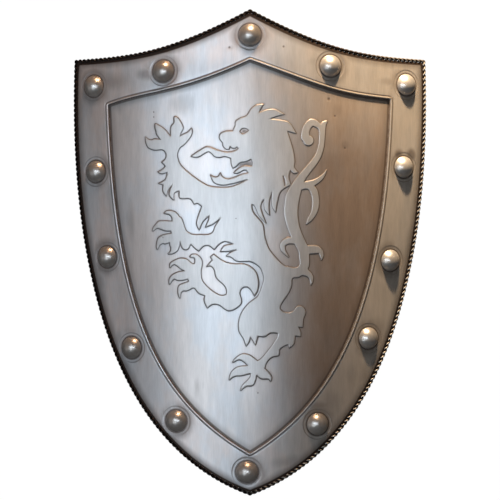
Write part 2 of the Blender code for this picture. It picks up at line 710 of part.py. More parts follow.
def make_border_band(material, collection):
    """Band of sheet round the edge, with a rolled lip along its inner line."""
    edge = sheet_edge()
    line = closed_loop(inner_side, inner_top)
    foot = inset(line, -LIP_WIDTH)
    holes = [hole_loop(centre) for centre in rivet_plan()]
    middle = middle_of_band()
    top = BAND_THICKNESS
    skin = Skin()

    plan, faces = triangulate([edge, line] + holes, middle)
    skin.sheet(plan, inside_faces(plan, faces, [edge, line] + holes), 0.0, False)
    plan, faces = triangulate([edge, foot] + holes, middle)
    skin.sheet(plan, inside_faces(plan, faces, [edge, foot] + holes), top, True)
    skin.wall(lift(edge, 0.0), lift(edge, top))
    for hole in holes:
        skin.wall(lift(hole[::-1], 0.0), lift(hole[::-1], top))

    below = lift(line[::-1], 0.0)
    for out, up in LIP_PROFILE:
        above = lift(inset(line, -LIP_WIDTH * out)[::-1], LIP_HEIGHT * up)
        skin.wall(below, above)
        below = above
    skin.wall(below, lift(foot[::-1], top))
    return skin.build("border_band", material, collection)


def make_rope_edge(material, collection):
    """Twisted wire as an eight-sided rod with a flat land below, closed round the whole rim."""
    line = rope_line()
    outer = inset(line, -1.0) - line
    path = np.column_stack([line, height(line[:, 0], line[:, 1])])
    run = np.roll(path, -1, axis=0) - np.roll(path, 1, axis=0)
    run /= np.linalg.norm(run, axis=1)[:, None]
    sideways = np.column_stack([outer, np.zeros(len(line))])
    upwards = np.cross(sideways / np.linalg.norm(sideways, axis=1)[:, None], run)
    reach = ROPE_RADIUS / math.cos(math.pi / ROPE_SIDES)
    rings = []
    for side in range(ROPE_SIDES):
        angle = (side + 0.5) * 2 * math.pi / ROPE_SIDES
        rings.append(path + reach * (math.cos(angle) * sideways + math.sin(angle) * upwards))
    skin = Skin()
    for side in range(ROPE_SIDES):
        skin.wall(rings[side], rings[(side + 1) % ROPE_SIDES])
    piece = skin.build("rope_edge", material, collection)
    shade_round(piece.data)
    return piece


def rivet_profile():
    """Half section of a rivet, from the top of its dome down its outer side to its tail."""
    sphere = (HEAD_RADIUS ** 2 + HEAD_HEIGHT ** 2) / (2 * HEAD_HEIGHT)
    widest = math.asin(HEAD_RADIUS / sphere)
    profile = []
    for ring in range(HEAD_RINGS + 1):
        angle = widest * ring / HEAD_RINGS
        profile.append((sphere * math.sin(angle), HEAD_HEIGHT - sphere * (1 - math.cos(angle))))
    grip = PLATE_THICKNESS + BAND_THICKNESS + 3 * CLEARANCE
    profile += [(SHANK_RADIUS, 0.0), (SHANK_RADIUS, -grip), (TAIL_RADIUS, -grip),
                (TAIL_RADIUS, -grip - TAIL_THICKNESS), (0.0, -grip - TAIL_THICKNESS)]
    return profile


def shade_round(data):
    data.shade_smooth()
    data.set_sharp_from_angle(angle=math.radians(50))


def make_rivets(material, collection):
    """Each rivet stands along the surface's normal, its head just clear of the band."""
    profile = rivet_profile()
    data = bpy.data.meshes.new("rivet")
    data.from_pydata([(x, 0.0, z) for x, z in profile],
                     [(i, i + 1) for i in range(len(profile) - 1)], [])
    for number, centre in enumerate(rivet_plan(), start=1):
        piece = add_object(f"rivet_{number:02d}", data, material, collection)
        turn = piece.modifiers.new("Turned", "SCREW")
        turn.axis = "Z"
        turn.angle = 2 * math.pi
        turn.steps = RIVET_STEPS
        turn.render_steps = RIVET_STEPS
        turn.use_smooth_shade = True
        turn.use_merge_vertices = True
        turn.merge_threshold = 0.00001
        seat = lift([centre], BAND_THICKNESS + CLEARANCE)[0]
        slope_x, slope_y = slopes(*centre)
        normal = Vector((-slope_x, -slope_y, 1.0))
        turn_to = Vector((0.0, 0.0, 1.0)).rotation_difference(normal)
        piece.matrix_world = Matrix.Translation(Vector(seat)) @ turn_to.to_matrix().to_4x4()


def main():
    for old in list(bpy.data.objects):
        bpy.data.objects.remove(old)
    collection = bpy.data.collections.new(COLLECTION_NAME)
    bpy.context.scene.collection.children.link(collection)
    plate_steel = make_material("plate_steel", (0.50, 0.47, 0.44), 0.38, 1.0)
    band_steel = make_material("band_steel", (0.46, 0.42, 0.38), 0.40, 1.0)
    rope_steel = make_material("rope_steel", (0.28, 0.25, 0.22), 0.42, 1.0)
    rivet_steel = make_material("rivet_steel", (0.60, 0.58, 0.55), 0.30, 1.0)
    make_shield_plate(plate_steel, collection)
    make_border_band(band_steel, collection)
    make_rope_edge(rope_steel, collection)
    make_rivets(rivet_steel, collection)


main()
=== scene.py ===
# %% [markdown]
# # A knight's heater shield in antiqued steel
#
# The shield is a bent steel sheet with a lion standing in low relief on its face. A steel band is
# riveted round the edge, and a twisted wire runs round the whole rim. This lesson dresses the
# plain CAD solids: each step makes one real piece, or one finish, and says why it is made so.
# All sizes are in metres, +Z points out of the face and +Y towards the peak of the top edge.

# %% Load the fixed frame
import math
from functools import reduce

import bmesh
import bpy
import numpy as np
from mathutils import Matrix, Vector
from mathutils.geometry import delaunay_2d_cdt
from mathutils.kdtree import KDTree


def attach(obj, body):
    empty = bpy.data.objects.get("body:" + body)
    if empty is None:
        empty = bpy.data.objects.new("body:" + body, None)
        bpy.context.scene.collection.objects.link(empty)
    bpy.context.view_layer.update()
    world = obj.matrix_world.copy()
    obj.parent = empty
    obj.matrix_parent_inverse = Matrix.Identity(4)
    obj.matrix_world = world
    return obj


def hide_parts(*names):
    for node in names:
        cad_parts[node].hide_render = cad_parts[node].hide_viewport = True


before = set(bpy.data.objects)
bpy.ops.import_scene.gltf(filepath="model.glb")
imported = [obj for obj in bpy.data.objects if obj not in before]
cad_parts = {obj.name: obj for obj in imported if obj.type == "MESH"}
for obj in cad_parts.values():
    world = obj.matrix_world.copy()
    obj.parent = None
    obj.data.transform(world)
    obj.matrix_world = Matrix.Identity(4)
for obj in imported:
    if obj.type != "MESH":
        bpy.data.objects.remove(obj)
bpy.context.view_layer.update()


# %% [markdown]
# ## The outline
#
# Each side of the shield is one long swinging curve from the tip to the top corner, and each half
# of the top edge is a shallow one from the peak to the corner. A cubic curve has two handles, so
# it could be drawn by hand, or its handles can be shares of its own width and height. The second
# way is used here, because the curve then keeps its character when the shield's size changes. The
# band's inner line was cut by hand, so its left half (-1) and its right half (1) differ a little.

# %% Sizes of the outline
SHIELD_HEIGHT = 0.700
CORNER_WIDTH = 0.523
PEAK_RISE = 0.063
SIDE_SWING = ((0.8975, 0.1305), (1.0345, 0.6180))
TOP_SWING = ((0.440, 0.955), (0.660, 1.020))

BAND_WIDTH_AT_PEAK = 0.0745
BAND_WIDTH_AT_TIP = 0.0622
BAND_WIDTH_AT_CORNER = {-1: (0.0544, 0.0711), 1: (0.0566, 0.0627)}
INNER_SIDE_SWING = {-1: ((0.613, 0.147), (0.949, 0.373)), 1: ((0.579, 0.139), (0.961, 0.392))}
INNER_TOP_SWING = {-1: ((0.495, 0.793), (0.720, 0.686)), 1: ((0.535, 0.755), (0.613, 0.912))}

SIDE_STATIONS = 210
TOP_STATIONS = 90


# %% Curves of the outline
def bezier(start, swing, end, shares):
    """Points of a curve whose two handles are shares of its own width and height."""
    start = np.array(start)
    end = np.array(end)
    first = start + np.array(swing[0]) * (end - start)
    second = start + np.array(swing[1]) * (end - start)
    t = np.asarray(shares, dtype=float)[:, None]
    return ((1 - t) ** 3 * start + 3 * (1 - t) ** 2 * t * first
            + 3 * (1 - t) * t ** 2 * second + t ** 3 * end)


def unit(vectors):
    return vectors / np.maximum(np.linalg.norm(vectors, axis=1), 1e-9)[:, None]


def outer_corner(half):
    return np.array((half * CORNER_WIDTH / 2, SHIELD_HEIGHT / 2 - PEAK_RISE))


def inner_corner(half):
    return outer_corner(half) - np.array(BAND_WIDTH_AT_CORNER[half]) * (half, 1)


def outer_side(shares, half):
    return bezier((0.0, -SHIELD_HEIGHT / 2), SIDE_SWING, outer_corner(half), shares)


def outer_top(shares, half):
    return bezier((0.0, SHIELD_HEIGHT / 2), TOP_SWING, outer_corner(half), shares)


def inner_side(shares, half):
    tip = (0.0, BAND_WIDTH_AT_TIP - SHIELD_HEIGHT / 2)
    return bezier(tip, INNER_SIDE_SWING[half], inner_corner(half), shares)


def inner_top(shares, half):
    peak = (0.0, SHIELD_HEIGHT / 2 - BAND_WIDTH_AT_PEAK)
    return bezier(peak, INNER_TOP_SWING[half], inner_corner(half), shares)


def closed_loop(side, top):
    """Both halves of an outline as one loop, counter-clockwise from the lower tip."""
    upwards = np.linspace(0, 1, SIDE_STATIONS + 1)
    outwards = np.linspace(0, 1, TOP_STATIONS + 1)
    runs = (side(upwards, 1), top(outwards[::-1], 1), top(outwards, -1), side(upwards[::-1], -1))
    return np.vstack([run[:-1] for run in runs])


def inset(loop, distance):
    """The loop moved inwards; distance is one number or one for each point."""
    ahead = unit(np.roll(loop, -1, axis=0) - loop)
    behind = np.roll(ahead, 1, axis=0)
    normal_ahead = np.column_stack([-ahead[:, 1], ahead[:, 0]])
    normal_behind = np.column_stack([-behind[:, 1], behind[:, 0]])
    mitre = normal_ahead + normal_behind
    mitre /= 1 + np.sum(normal_ahead * normal_behind, axis=1)[:, None]
    return loop + mitre * np.reshape(distance, (-1, 1))


outer_loop = closed_loop(outer_side, outer_top)
inner_line = closed_loop(inner_side, inner_top)
print("points round the rim:", len(outer_loop))

# %% [markdown]
# ## The bend of the sheet
#
# A real heater shield is rolled over a former, so across its width it is nearly a round arc, and a
# light crease runs down its middle. It could be bent with a Curve or Simple Deform modifier. A
# height function is used instead: it gives the same surface to the plate, the band, the rivets and
# the wire, so each one sits exactly on the next.

# %% Sizes of the bend and the sheets
ROPE_RADIUS = 0.0029
BEND_DEPTH = 0.078
CREASE_FALL = 0.0118
CREASE_SOFTNESS = 0.006
GROUND_CONTACT = 0.285
TOE_SPRING = 0.060

CLEARANCE = 0.0003
PLATE_FRONT = -CLEARANCE
PLATE_BACK = PLATE_FRONT - 0.0012
LION_RELIEF = 0.0008
BAND_TOP = 0.0015
LIP_HEIGHT = 0.0030
LIP_WIDTH = 0.0042

rope_plan = inset(outer_loop, ROPE_RADIUS)
rope_half = rope_plan[:SIDE_STATIONS + 1]


# %% The bent surface
def resting_half_width(y):
    """Half width of the rim where it meets the ground, running out towards the tip."""
    lowest = outer_corner(1)[1] - GROUND_CONTACT
    below = TOE_SPRING * (np.exp(np.minimum(y - lowest, 0.0) / TOE_SPRING) - 1)
    held = np.where(y < lowest, lowest + below, y)
    return np.interp(held, rope_half[:, 1], rope_half[:, 0])


def crease(x):
    slope = CREASE_FALL / (CORNER_WIDTH / 2)
    return slope * (np.hypot(x, CREASE_SOFTNESS) - CREASE_SOFTNESS)


def height(x, y):
    """Height of the bent surface, the underside of the band, above the ground."""
    half = resting_half_width(y)
    depth = BEND_DEPTH - crease(half)
    radius = (half ** 2 + depth ** 2) / (2 * depth)
    return ROPE_RADIUS + BEND_DEPTH - crease(x) - radius + np.sqrt(radius ** 2 - x ** 2)


def slopes(x, y, reach=0.0015):
    along_x = (height(x + reach, y) - height(x - reach, y)) / (2 * reach)
    along_y = (height(x, y + reach) - height(x, y - reach)) / (2 * reach)
    return along_x, along_y


def normals(plan):
    slope_x, slope_y = slopes(plan[:, 0], plan[:, 1])
    return unit(np.column_stack([-slope_x, -slope_y, np.ones(len(plan))]))


def lift(plan, offset):
    """Plan points set on the bent surface, then moved along its normal by offset."""
    plan = np.asarray(plan, dtype=float)
    ground = np.column_stack([plan, height(plan[:, 0], plan[:, 1])])
    return ground + normals(plan) * np.reshape(offset, (-1, 1))


print("height of the middle in mm:", round(float(height(0.0, 0.0)) * 1000, 1))

# %% [markdown]
# ## Camera, floor and light
#
# The photograph looks straight down on the lying shield, from far enough that the sides hardly
# lean. The camera is set first, so that marks on the steel can be placed where they are seen.
# Steel shows nothing but what it mirrors, so most lights are large: a cool one like a window to
# the left of overhead gives the broad pale glow, and paler ones further left fill the dark side. A
# small warm lamp stands low beyond the right corner. It browns that side, fades towards the left
# and the tip, and draws the short shadows under the rivets and the lip.

# %% Camera
CAMERA_PLACE = Vector((0.0, 0.0033, 2.2))
FRAME_PIXELS = 500
FOCAL_PIXELS = 1474.8
SENSOR = 36.0

camera = bpy.data.objects.new("camera", bpy.data.cameras.new("camera"))
camera.data.sensor_width = SENSOR
camera.data.lens = FOCAL_PIXELS * SENSOR / FRAME_PIXELS
camera.location = CAMERA_PLACE
bpy.context.scene.collection.objects.link(camera)
bpy.context.scene.camera = camera


def plan_of_pixel(across, down):
    """Plan point of the bent surface that is seen at a pixel of the square frame."""
    x = y = 0.0
    for _ in range(8):
        reach = (CAMERA_PLACE.z - float(height(np.array(x), np.array(y)))) / FOCAL_PIXELS
        x = CAMERA_PLACE.x + (across - FRAME_PIXELS / 2) * reach
        y = CAMERA_PLACE.y - (down - FRAME_PIXELS / 2) * reach
    return x, y


print("focal length in mm:", round(camera.data.lens, 1))


# %% Lights and floor
SOFT_LIGHTS = (
    # name, place, width and height, power in watts, colour
    ("cool_window", (-0.57, 0.12, 2.65), (0.54, 2.5), 25.5, (0.73, 0.865, 1.0)),
    ("pale_wall_above", (-1.50, 0.85, 2.45), (1.1, 1.2), 0.6, (0.84, 0.94, 1.0)),
    ("pale_wall_below", (-1.30, -0.80, 2.50), (1.1, 1.2), 8.5, (0.78, 0.90, 1.0)),
    ("left_fill", (-2.2, -0.5, 1.4), (1.2, 2.4), 2.1, (1.0, 0.95, 0.98)),
    ("low_wall", (-2.3, -0.2, 0.55), (2.6, 0.7), 0.9, (0.92, 0.96, 1.0)),
    ("warm_side", (2.0, 1.3, 1.0), (0.8, 1.0), 0.8, (1.0, 0.78, 0.52)),
    ("warm_glow", (0.08, 1.5, 0.52), (0.34, 0.34), 21.0, (1.0, 0.60, 0.34)))
# power, colour, place and aim of the small lamp
WARM_LAMP = (690.0, (1.0, 0.78, 0.52), (0.22, 1.65, 0.58), (0.25, 0.55, 0.04))
LAMP_RADIUS = 0.045
LAMP_SPREAD = math.radians(26)
ROOM_COLOUR = (0.06, 0.052, 0.045, 1.0)
FLOOR_HALF = 4.0


def place_light(name, data, power, colour, place, aim=(0.0, 0.0, 0.0)):
    """Show a light that faces the middle of the shield or another aim."""
    data.energy = power
    data.color = colour
    light = bpy.data.objects.new(name, data)
    light.location = place
    light.rotation_euler = (Vector(aim) - Vector(place)).to_track_quat("-Z", "Y").to_euler()
    bpy.context.scene.collection.objects.link(light)


for name, place, size, power, colour in SOFT_LIGHTS:
    panel = bpy.data.lights.new(name, "AREA")
    panel.shape = "RECTANGLE"
    panel.size, panel.size_y = size
    place_light(name, panel, power, colour, place)

lamp = bpy.data.lights.new("warm_lamp", "SPOT")
lamp.shadow_soft_size = LAMP_RADIUS
lamp.spot_size = LAMP_SPREAD
lamp.spot_blend = 1.0
place_light("warm_lamp", lamp, *WARM_LAMP)

world = bpy.data.worlds.new("room")
world.use_nodes = True
world.node_tree.nodes["Background"].inputs["Color"].default_value = ROOM_COLOUR
bpy.context.scene.world = world
bpy.context.scene.view_settings.view_transform = "Standard"

floor_mesh = bpy.data.meshes.new("floor")
floor_mesh.from_pydata([(x * FLOOR_HALF, y * FLOOR_HALF, 0.0)
                        for x, y in ((-1, -1), (1, -1), (1, 1), (-1, 1))], [], [(0, 1, 2, 3)])
floor = bpy.data.objects.new("floor", floor_mesh)
bpy.context.scene.collection.objects.link(floor)
floor.visible_glossy = False
floor.visible_diffuse = False
print("lights:", [item.name for item in bpy.data.lights])

# %% [markdown]
# ## Shader maths as sums
#
# A steel finish is a sum of many small things: streaks, stains, dark lines in the corners. Each
# could be dragged together by hand in the node editor. Here a small class wraps a socket, so that
# a plain Python sum adds its Math nodes, and one function adds every other node.


# %% Nodes, wires and finishes
def fill(tree, node, values):
    """Set or link a node's sockets, found by name or number."""
    for name, value in values.items():
        source = getattr(value, "socket", value)
        if isinstance(source, bpy.types.NodeSocket):
            tree.links.new(source, node.inputs[name])
        else:
            node.inputs[name].default_value = source


def add(tree, kind, values, output=0, **settings):
    """One output of a new node, whose settings are made before its sockets are filled."""
    node = tree.nodes.new(kind)
    for name, setting in settings.items():
        setattr(node, name, setting)
    fill(tree, node, values)
    return Wire(tree, node.outputs[output])


class Wire:
    """One socket of a node tree; a sum on it adds the Math node."""

    def __init__(self, tree, socket):
        self.tree = tree
        self.socket = socket

    def maths(self, operation, *values):
        return add(self.tree, "ShaderNodeMath", dict(enumerate(values)), operation=operation)

    def __add__(self, other):
        return self.maths("ADD", self, other)

    def __mul__(self, other):
        return self.maths("MULTIPLY", self, other)

    def __sub__(self, other):
        return self.maths("SUBTRACT", self, other)

    def __rsub__(self, other):
        return self.maths("SUBTRACT", other, self)

    def __truediv__(self, other):
        return self.maths("DIVIDE", self, other)

    def __abs__(self):
        return self.maths("ABSOLUTE", self)

    __radd__ = __add__

    def most(self, other):
        return self.maths("MAXIMUM", self, other)

    def fade(self, low, high):
        """0 at low and 1 at high, smooth between; low may be above high."""
        ends = {"From Min": low, "From Max": high} if low < high else {
            "From Min": high, "From Max": low, "To Min": 1.0, "To Max": 0.0}
        return add(self.tree, "ShaderNodeMapRange", {"Value": self, **ends},
                   interpolation_type="SMOOTHSTEP")


class Finish:
    """One material under construction."""

    def __init__(self, name, roughness, metallic):
        self.material = bpy.data.materials.new(name)
        self.material.use_nodes = True
        self.tree = self.material.node_tree
        self.shader = self.tree.nodes["Principled BSDF"]
        self.shader.inputs["Roughness"].default_value = roughness
        self.shader.inputs["Metallic"].default_value = metallic

    def add(self, kind, values, output=0, **settings):
        return add(self.tree, kind, values, output, **settings)

    def vector(self, operation, values, output=0):
        return self.add("ShaderNodeVectorMath", values, output, operation=operation)

    def place(self):
        return self.add("ShaderNodeTexCoord", {}, "Object")

    def noise(self, stretch, detail, roughness=0.5):
        """Noise over the object's place, multiplied along each axis."""
        place = self.vector("MULTIPLY", {0: self.place(), 1: stretch})
        return self.add("ShaderNodeTexNoise", {"Vector": place, "Scale": 1.0, "Detail": detail,
                                               "Roughness": roughness})

    def measure(self, name):
        """A length that the mesh carries at its points, in millimetres."""
        return self.add("ShaderNodeAttribute", {}, "Fac", attribute_name=name)

    def mix(self, share, first, second):
        return self.add("ShaderNodeMix", {0: share, 6: first, 7: second}, 2, data_type="RGBA")

    def across(self, low, high):
        """0 left of low and 1 right of high, in metres across the shield."""
        return self.add("ShaderNodeSeparateXYZ", {0: self.place()}, "X").fade(low, high)

    def up(self, low, high):
        """0 nearer the tip than low and 1 nearer the peak than high, in metres."""
        return self.add("ShaderNodeSeparateXYZ", {0: self.place()}, "Y").fade(low, high)

    def paint(self, **values):
        """Set or link the shader's own sockets; underscores stand for spaces."""
        fill(self.tree, self.shader,
             {name.replace("_", " "): value for name, value in values.items()})

    def bump(self, relief, distance):
        return self.add("ShaderNodeBump", {"Height": relief, "Distance": distance,
                                           "Strength": 1.0}, "Normal")


# %% Floor finish
floor_finish = Finish("pale_floor", 0.9, 0.0)
floor_finish.paint(Base_Color=(0.0, 0.0, 0.0, 1.0), Emission_Color=(1.0, 1.0, 1.0, 1.0),
                   Emission_Strength=1.0)
floor.data.materials.append(floor_finish.material)

# %% [markdown]
# ## Reading the lion's outline
#
# The lion is raised less than a millimetre, with a soft shoulder all round it. Its outline is
# already in the CAD plate, as the upper edge of a low wall. It could be drawn again, but reading
# it from the plate keeps the two alike. The wall's upper edges are chained to loops, and the short
# straight pieces are made smooth again, except at the tips of claws and locks.


# %% Loops of the raised lion
WELD = 1e-6
UPRIGHT = 0.5


def inside(points, loops):
    """Whether each point is inside an odd number of the loops."""
    crossings = np.zeros(len(points), dtype=int)
    for loop in loops:
        for (x0, y0), (x1, y1) in zip(loop, np.roll(loop, -1, axis=0)):
            if y0 == y1:
                continue
            spans = (points[:, 1] >= min(y0, y1)) & (points[:, 1] < max(y0, y1))
            at = x0 + (points[:, 1] - y0) * (x1 - x0) / (y1 - y0)
            crossings += spans & (points[:, 0] < at)
    return crossings % 2 == 1


def chain(follows):
    """Closed loops from a table of which point follows which."""
    loops = []
    while follows:
        here = next(iter(follows))
        loop = []
        while here in follows:
            loop.append(here)
            here = follows.pop(here)
        loops.append(loop)
    return loops


def raised_outlines(node):
    """Loops in plan round the raised faces inside the band's inner line."""
    solid = bmesh.new()
    solid.from_mesh(node.data)
    bmesh.ops.remove_doubles(solid, verts=solid.verts, dist=WELD)
    centres = np.array([face.calc_center_median()[:2] for face in solid.faces])
    facing = np.array([face.normal[:] for face in solid.faces])
    up = np.sum(facing * normals(centres), axis=1)
    solid.faces.index_update()
    follows = {}
    for edge in solid.edges:
        for loop in edge.link_loops:
            wall = loop.link_loop_radial_next.face
            if up[loop.face.index] < UPRIGHT or abs(up[wall.index]) > UPRIGHT:
                continue
            to_wall = wall.calc_center_median() - edge.verts[0].co
            if to_wall.dot(loop.face.normal) < 0:
                follows[loop.vert] = loop.link_loop_next.vert
    loops = [np.array([vertex.co[:2] for vertex in loop]) for loop in chain(follows)]
    solid.free()
    return [loop for loop in loops if inside(loop, [inner_line]).all()]


lion_rough = raised_outlines(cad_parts["shield_plate"])
print("loops of the lion:", [len(loop) for loop in lion_rough])

# %% Smooth loops with sharp tips
SAMPLE_STEP = 0.0011
TIP_TURN = math.radians(62)


def smooth_loop(loop):
    """Even points on a smooth curve through the loop, which keeps its sharp tips."""
    before = loop - np.roll(loop, 1, axis=0)
    after = np.roll(loop, -1, axis=0) - loop
    turn = np.abs(np.arctan2(before[:, 0] * after[:, 1] - before[:, 1] * after[:, 0],
                             np.sum(before * after, axis=1)))
    tangent = unit(unit(before) + unit(after))
    sharp = turn > TIP_TURN
    points = []
    for i, start in enumerate(loop):
        following = (i + 1) % len(loop)
        chord = after[i]
        length = np.linalg.norm(chord)
        leave = chord if sharp[i] else tangent[i] * length
        arrive = chord if sharp[following] else tangent[following] * length
        t = np.arange(0, 1, SAMPLE_STEP / max(length, SAMPLE_STEP))[:, None]
        points.append((2 * t ** 3 - 3 * t ** 2 + 1) * start + (t ** 3 - 2 * t ** 2 + t) * leave
                      + (3 * t ** 2 - 2 * t ** 3) * loop[following] + (t ** 3 - t ** 2) * arrive)
    return np.vstack(points)


lion_loops = [smooth_loop(loop) for loop in lion_rough]
print("points on the lion's outline:", sum(len(loop) for loop in lion_loops))


# %% Distances from lines
class Line:
    """Closed loops that can say how far plan points are from them."""

    def __init__(self, loops):
        self.corners = np.vstack(loops)
        self.before = np.vstack([np.roll(loop, 1, axis=0) for loop in loops])
        self.after = np.vstack([np.roll(loop, -1, axis=0) for loop in loops])
        self.tree = KDTree(len(self.corners))
        for i, (x, y) in enumerate(self.corners):
            self.tree.insert((x, y, 0.0), i)
        self.tree.balance()

    def away(self, points):
        """Distance of each point, from the two pieces at its nearest corner."""
        nearest = np.array([self.tree.find((x, y, 0.0))[1] for x, y in points], dtype=int)
        distances = []
        for starts, ends in ((self.corners, self.after), (self.before, self.corners)):
            start = starts[nearest]
            run = ends[nearest] - start
            length = np.maximum(np.sum(run ** 2, axis=1), 1e-18)
            share = np.sum((points - start) * run, axis=1) / length
            foot = start + run * np.clip(share, 0, 1)[:, None]
            distances.append(np.linalg.norm(points - foot, axis=1))
        return np.minimum(*distances)


lion_line = Line(lion_loops)


def from_lion(points):
    """Distance from the lion's outline, above zero on the lion and below it on the ground."""
    return lion_line.away(points) * np.where(inside(points, lion_loops), 1, -1)


# %% [markdown]
# ## Rivet places
#
# Fourteen dome-headed rivets hold the band. Their places are shares along the edge and across the
# band, as a smith would mark them out, so they are known before the sheets are cut.

# %% Places of the rivets
RIVET_PLACES = (
    ("top", 1, 0.000, 0.505), ("top", -1, 0.481, 0.557), ("top", 1, 0.445, 0.487),
    ("side", -1, 0.999, 0.576), ("side", 1, 0.994, 0.551), ("side", -1, 0.840, 0.541),
    ("side", 1, 0.842, 0.538), ("side", -1, 0.666, 0.544), ("side", 1, 0.653, 0.551),
    ("side", -1, 0.446, 0.492), ("side", 1, 0.469, 0.540), ("side", -1, 0.231, 0.488),
    ("side", 1, 0.217, 0.526), ("side", -1, 0.008, 0.521))
HOLE_RADIUS = 0.0033


def rivet_place(edge, half, along, across):
    outer, inner = (outer_side, inner_side) if edge == "side" else (outer_top, inner_top)
    return (1 - across) * outer([along], half)[0] + across * inner([along], half)[0]


def circle_on(centre, radius, count):
    """Plan points of a circle that is round on the bent surface."""
    slope_x, slope_y = slopes(*centre)
    angles = np.arange(count) * 2 * math.pi / count
    return centre + radius * np.column_stack([np.cos(angles) / math.hypot(1, slope_x),
                                              np.sin(angles) / math.hypot(1, slope_y)])


rivet_plan = np.array([rivet_place(*place) for place in RIVET_PLACES])
hole_loops = [circle_on(centre, HOLE_RADIUS, 20) for centre in rivet_plan]
hole_line = Line(hole_loops)


def from_rivet(points):
    """Distance of each point from the nearest rivet's middle, along the sheet."""
    distance = np.full(len(points), 1.0)
    for centre in rivet_plan:
        slope_x, slope_y = slopes(*centre)
        away = (points - centre) * (math.hypot(1, slope_x), math.hypot(1, slope_y))
        distance = np.minimum(distance, np.linalg.norm(away, axis=1))
    return distance


print("rivets:", len(rivet_plan))

# %% [markdown]
# ## Sheets as shells
#
# Plate and band are thin closed shells. Solidify could give them their thickness, but the front
# carries relief that the back doesn't, so front and back are made as two sheets of triangles with
# walls between them, then welded. The triangles come from a Delaunay net: it takes points exactly
# where detail is needed, close along an outline and far apart on the open field.


# %% Nets of triangles
def net(loops, points, *clearances):
    """Plan points and triangles inside an odd number of the loops.

    Each clearance is a line and the distance that the points keep from it.
    """
    for line, distance in clearances:
        points = points[line.away(points) > distance]
    corners = []
    edges = []
    for loop in loops:
        first = len(corners)
        corners += [Vector(corner) for corner in loop]
        edges += [(first + i, first + (i + 1) % len(loop)) for i in range(len(loop))]
    corners += [Vector(point) for point in points[inside(points, loops)]]
    result = delaunay_2d_cdt(corners, edges, [], 0, 1e-7, False)
    plan = np.array([corner[:] for corner in result[0]])
    faces = np.array(result[2])
    return plan, faces[inside(plan[faces].mean(axis=1), loops)]


def spaced(points, distance):
    """The points in their order, without those too close to one that was kept."""
    kept = {}
    chosen = []
    for i, (x, y) in enumerate(points):
        cell = (math.floor(x / distance), math.floor(y / distance))
        near = [kept[key] for dx in (-1, 0, 1) for dy in (-1, 0, 1)
                if (key := (cell[0] + dx, cell[1] + dy)) in kept]
        if all(math.hypot(x - a, y - b) >= distance for a, b in near):
            kept[cell] = (x, y)
            chosen.append(i)
    return points[chosen]


def rows_beside(loops, distances):
    """Points beside closed loops, at each distance along their normals."""
    rows = []
    for distance in distances:
        for loop in loops:
            run = unit(np.roll(loop, -1, axis=0) - np.roll(loop, 1, axis=0))
            rows.append(loop + distance * np.column_stack([-run[:, 1], run[:, 0]]))
    return np.vstack(rows)


def even_points(step):
    """Staggered points at an even step over the whole shield."""
    rise = step * math.sqrt(0.75)
    across = np.arange(-math.ceil(CORNER_WIDTH / 2 / step), math.ceil(CORNER_WIDTH / 2 / step) + 1)
    along = np.arange(-math.ceil(SHIELD_HEIGHT / 2 / rise), math.ceil(SHIELD_HEIGHT / 2 / rise) + 1)
    rows = [np.column_stack([(across + 0.5 * (row % 2)) * step, np.full(len(across), row * rise)])
            for row in along]
    return np.vstack(rows)


# %% Shells
# Distances in millimetres that leave no dirt; beside the lion they count below zero.
CLEAN = {"from_outline": -50.0, "from_lip": 50.0, "from_rim": 50.0, "from_rivet": 50.0,
         "from_dent": 50.0}


class Shell:
    """Sheets and walls over the bent surface, welded into one closed piece."""

    def __init__(self):
        self.points = []
        self.plans = []
        self.shown = []
        self.faces = []

    def place(self, plan, offset, shown=True):
        first = sum(len(placed) for placed in self.plans)
        self.shown.append(np.full(len(plan), shown))
        self.points.append(lift(plan, offset))
        self.plans.append(plan)
        return first

    def sheet(self, plan, faces, offset, facing_up=True):
        first = self.place(plan, offset, facing_up)
        self.faces += (first + (faces if facing_up else faces[:, ::-1])).tolist()

    def walls(self, rings):
        """Quads between rings of plan points and offsets, with the solid on their left."""
        starts = [self.place(plan, offset) for plan, offset in rings]
        count = len(rings[0][0])
        for low, high in zip(starts, starts[1:]):
            for i in range(count):
                after = (i + 1) % count
                self.faces.append([low + i, low + after, high + after, high + i])

    def build(self, name, measures, sharp_from=35):
        """The welded piece, whose shown points carry each measure in millimetres."""
        mesh = bpy.data.meshes.new(name)
        mesh.from_pydata(np.vstack(self.points), [], self.faces)
        plan = np.vstack(self.plans)
        shown = np.concatenate(self.shown)
        for measure, values in measures.items():
            layer = mesh.attributes.new(measure, "FLOAT", "POINT")
            marked = np.where(shown, 1000.0 * values(plan), CLEAN[measure])
            layer.data.foreach_set("value", marked)
        solid = bmesh.new()
        solid.from_mesh(mesh)
        bmesh.ops.remove_doubles(solid, verts=solid.verts, dist=2 * WELD)
        solid.to_mesh(mesh)
        solid.free()
        mesh.shade_smooth()
        mesh.set_sharp_from_angle(angle=math.radians(sharp_from))
        piece = bpy.data.objects.new(name, mesh)
        bpy.context.scene.collection.objects.link(piece)
        mesh.calc_loop_triangles()
        print(name, "triangles:", len(mesh.loop_triangles))
        return piece


def smoothstep(low, high, values):
    t = np.clip((values - low) / (high - low), 0, 1)
    return t * t * (3 - 2 * t)


# %% [markdown]
# ## Where the sheets end
#
# Plate and band run in between the strands of the wire, so that no light shows through beside it.
# How far in, seen from above, depends on how steeply the surface falls away there.

